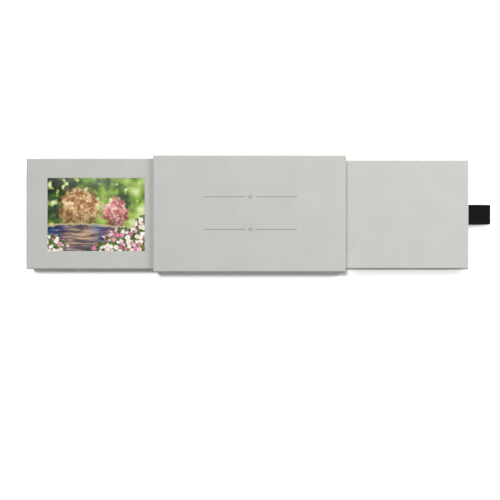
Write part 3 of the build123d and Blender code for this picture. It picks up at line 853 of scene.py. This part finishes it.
def window_rings(skin):
    """Rings from the tray's upper edge to the window, over its rounded rim and down to the glass."""
    middle = [(high + low) / 2 for low, high in zip(WINDOW_LOW, WINDOW_HIGH)]
    half = [(high - low) / 2 for low, high in zip(WINDOW_LOW, WINDOW_HIGH)]
    first = len(skin.rings)
    rim = skin.radius + 0.1
    skin.inset_ring(rim, skin.height)
    edge_half = [h - rim for h in skin.half]
    near = [h + WINDOW_EDGE + 0.5 for h in half]
    for share in (0.25, 0.5, 0.75, 1.0):
        centre = blended(skin.centre, middle, share)
        skin.ring(blended(edge_half, near, share), 0.3, skin.height, centre)
    for t in quarter_turn(4):
        out = WINDOW_EDGE * (1 - sin(t)) - WINDOW_PAPER
        drop = WINDOW_EDGE * (1 - cos(t))
        skin.ring([h + out for h in half], WINDOW_CORNER, skin.height - drop, middle, worn=0.5)
    floor = glass_high[2] - skin.low + 0.01
    for out, z in ((-WINDOW_PAPER, floor), (0.0, floor), (0.0, skin.height - PAPER)):
        skin.ring([h + out for h in half], WINDOW_CORNER, z, middle)
    return skin.rings[first:]


def tray_paper(material):
    low, high = box_of("tray_wrap")
    port_low, port_high = box_of("usb_socket")
    slot_y = (port_low[1] + PORT_LIP, port_high[1] - PORT_LIP)
    slot_z = (port_low[2] + PORT_LIP - low[2], port_high[2] - PORT_LIP - low[2])
    skin = Skin(low, high, TRAY_PLAN_RADIUS, TRAY_RADIUS, slot_y, slot_z)
    bottom = skin.underside()
    outer, outer_slot = skin.side(0.0, worn=1.0)
    top = window_rings(skin)
    inner, inner_slot = skin.side(PAPER)
    skin.inset_ring(TURN_IN, PAPER)
    under = skin.rings[-1]
    skin.cap(bottom[0])
    skin.join(bottom + outer[:1])
    skin.join(outer[-1:] + top + inner[-1:])
    skin.join([inner[0], under])
    skin.cap(under)
    skin.slot_walls(outer_slot, inner_slot)
    skin.finish("tray_paper", "tray", material, ("tray_wrap", "tray_base_lining"))


CARD_RADIUS = 0.5
CARD_PLAN_RADIUS = 0.4
RIBBON_SLOT = (5.05, (0.2, 0.9))  # half its width, and its two heights


def card_paper(material):
    low, high = box_of("card_wrap")
    half_width, slot_z = RIBBON_SLOT
    skin = Skin(low, high, CARD_PLAN_RADIUS, CARD_RADIUS, (-half_width, half_width), slot_z)
    bottom = skin.underside()
    outer, outer_slot = skin.side(0.0, worn=1.0)
    first = len(skin.rings)
    for inset in (skin.radius + 0.1, 3.0, TURN_IN):
        skin.inset_ring(inset, skin.height)
    top = skin.rings[first:]
    inner, inner_slot = skin.side(PAPER)
    first = len(skin.rings)
    for z in (skin.height - PAPER, PAPER):
        skin.inset_ring(TURN_IN, z)
    ceiling, floor = skin.rings[first:]
    skin.cap(bottom[0])
    skin.join(bottom + outer[:1])
    skin.join(outer[-1:] + top)
    skin.cap(top[-1])
    skin.join([inner[-1], ceiling])
    skin.cap(ceiling)
    skin.join([inner[0], floor])
    skin.cap(floor)
    skin.slot_walls(outer_slot, inner_slot)
    skin.finish("card_paper", "card", material, ("card_wrap",))


# --- Ribbon ---------------------------------------------------------------------------------

RIBBON = 0.30  # thickness of one layer
RIBBON_GAP = 0.06  # between the two layers
RIBBON_WIDTH = 10.0
RIBBON_ROOT = 13.0  # length inside the card
RIBBON_REACH = 11.0  # length outside it
RIBBON_DROOP = 1.15
RIBBON_PROUD = 0.7  # the loose end is so much longer than its solid
RIBBON_CURL = 0.4  # one selvedge arches so far above the straight slope
RIB_PITCH = 0.5
RIB_DEPTH = 0.07
RIB_STEPS = 6  # rows of points in a rib
FOLD_STEPS = 14
SELVEDGE = 0.3  # width of the thinner edge
SCALLOP = 0.05  # the ribs draw the edge in so far


def loose_share(x, start):
    """0 where the ribbon leaves the card, 1 near its tip."""
    share = (x - start - RIBBON_ROOT - 1.5) / (RIBBON_REACH + RIBBON_PROUD - 2.2)
    return max(0.0, min(1.0, share))


def ribbon_line(start, middle, tip):
    """Centre line of the upper layer, round the fold at the tip and back as the lower layer."""
    turn = (RIBBON + RIBBON_GAP) / 2
    length = tip - turn - RIBBON / 2 - start

    def sag(x):
        t = loose_share(x, start)
        return middle - RIBBON_DROOP * t * t * (3 - 2 * t)

    count = int(length / (RIB_PITCH / RIB_STEPS))
    run = [start + length * k / count for k in range(count + 1)]
    upper = [(x, sag(x) + turn) for x in run]
    lower = [(x, sag(x) - turn) for x in reversed(run)]
    bend = [pi * k / FOLD_STEPS for k in range(1, FOLD_STEPS)]
    fold = [(run[-1] + turn * sin(t), sag(run[-1]) + turn * cos(t)) for t in bend]
    return upper + fold + lower


def ribbon_rows(line, start):
    """Points on both faces of the ribbon, row by row along its line, and the line's length."""
    half = RIBBON_WIDTH / 2
    border = [half, half - 0.04, half - 0.12, half - 0.25]
    across = [-y for y in border] + [k * 0.5 for k in range(-9, 10)] + border[::-1]
    points, travelled = [], 0.0
    for n, (x, z) in enumerate(line):
        before, after = line[max(n - 1, 0)], line[min(n + 1, len(line) - 1)]
        along = Vector((after[0] - before[0], after[1] - before[1])).normalized()
        if n:
            travelled += sqrt((x - before[0]) ** 2 + (z - before[1]) ** 2)
        valley = 0.5 + 0.5 * cos(2 * pi * travelled / RIB_PITCH)
        arch = RIBBON_CURL * sin(pi * loose_share(x, start))
        for y in across:
            selvedge = max(0.0, (abs(y) - half + SELVEDGE) / SELVEDGE)
            thick = RIBBON / 2 - RIB_DEPTH * valley * (1 - 0.4 * selvedge)
            thick *= sqrt(max(0.0, 1 - 0.8 * selvedge**4))
            scalloped = y - sign(y) * SCALLOP * valley * selvedge
            height = z + arch * (0.5 + y / RIBBON_WIDTH)
            for face in (1, -1):
                out = face * thick
                points.append((x - along.y * out, scalloped, height + along.x * out))
    return points, len(across), travelled


def pull_ribbon():
    low, high = box_of("ribbon_tab")
    line = ribbon_line(low[0], high[2] - RIBBON - RIBBON_GAP / 2, high[0] + RIBBON_PROUD)
    points, columns, travelled = ribbon_rows(line, low[0])
    rows = len(line)

    def at(n, k, face):
        return 2 * (n * columns + k) + face

    faces = []
    for n in range(rows - 1):
        for k in range(columns - 1):
            faces.append((at(n, k, 0), at(n + 1, k, 0), at(n + 1, k + 1, 0), at(n, k + 1, 0)))
            faces.append((at(n, k, 1), at(n, k + 1, 1), at(n + 1, k + 1, 1), at(n + 1, k, 1)))
        for k in (0, columns - 1):
            faces.append((at(n, k, 0), at(n + 1, k, 0), at(n + 1, k, 1), at(n, k, 1)))
    for n in (0, rows - 1):
        for k in range(columns - 1):
            faces.append((at(n, k, 0), at(n, k + 1, 0), at(n, k + 1, 1), at(n, k, 1)))
    replaced = ("ribbon_tab",)
    ribbon = add_piece("pull_ribbon", points, faces, "card", ribbon_material(), replaced)


# --- The whole ------------------------------------------------------------------------------


def dress_nodes(paper):
    """Gives every node of the part the material of its slot."""
    chip, frame_white = colour(38, 38, 40), colour(225, 226, 228)
    finishes = {
        "wrap_paper": paper,
        "greyboard": greyboard_material(),
        "clear_film": film_material(),
        "adhesive_tape": tape_material(),
        "magnet": metal_material("magnet", colour(188, 188, 192), 0.3),
        "screen_frame": moulded_material("screen_frame", frame_white, 0.5, variation=0.94),
        "screen_glass": picture_material(WINDOW_LOW, WINDOW_HIGH),
        "chip_black": moulded_material("chip_black", chip, 0.6),
        "chip_tan": moulded_material("chip_tan", colour(176, 148, 112), 0.55),
        "flex_amber": moulded_material("flex_amber", colour(214, 138, 44), 0.3, 0.4),
        "board_green": board_material(),
        "plated_steel": metal_material("plated_steel", colour(205, 206, 208), 0.28),
        "cell_foil": metal_material("cell_foil", colour(202, 204, 207), 0.42, 0.5),
        "wire_red": moulded_material("wire_red", colour(176, 28, 24), 0.45, 0.3),
        "foam_black": moulded_material("foam_black", colour(36, 36, 37), 0.95, 0.3, 0.08),
        "speaker_film": moulded_material("speaker_film", colour(66, 66, 70), 0.4, 0.5),
    }
    for part in frame["record"]["subparts"]:
        material = finishes.get(part["material_slot"])
        if material is not None:
            for slot in nodes[part["node"]].material_slots:
                slot.material = material


make_camera()
make_world()
make_floor()
for lamp in LAMPS:
    make_lamp(*lamp)
paper = paper_shader("wrap_paper").material
dress_nodes(paper)
sleeve_paper()
tray_paper(paper)
card_paper(paper)
pull_ribbon()

bpy.context.scene.view_settings.view_transform = "Standard"
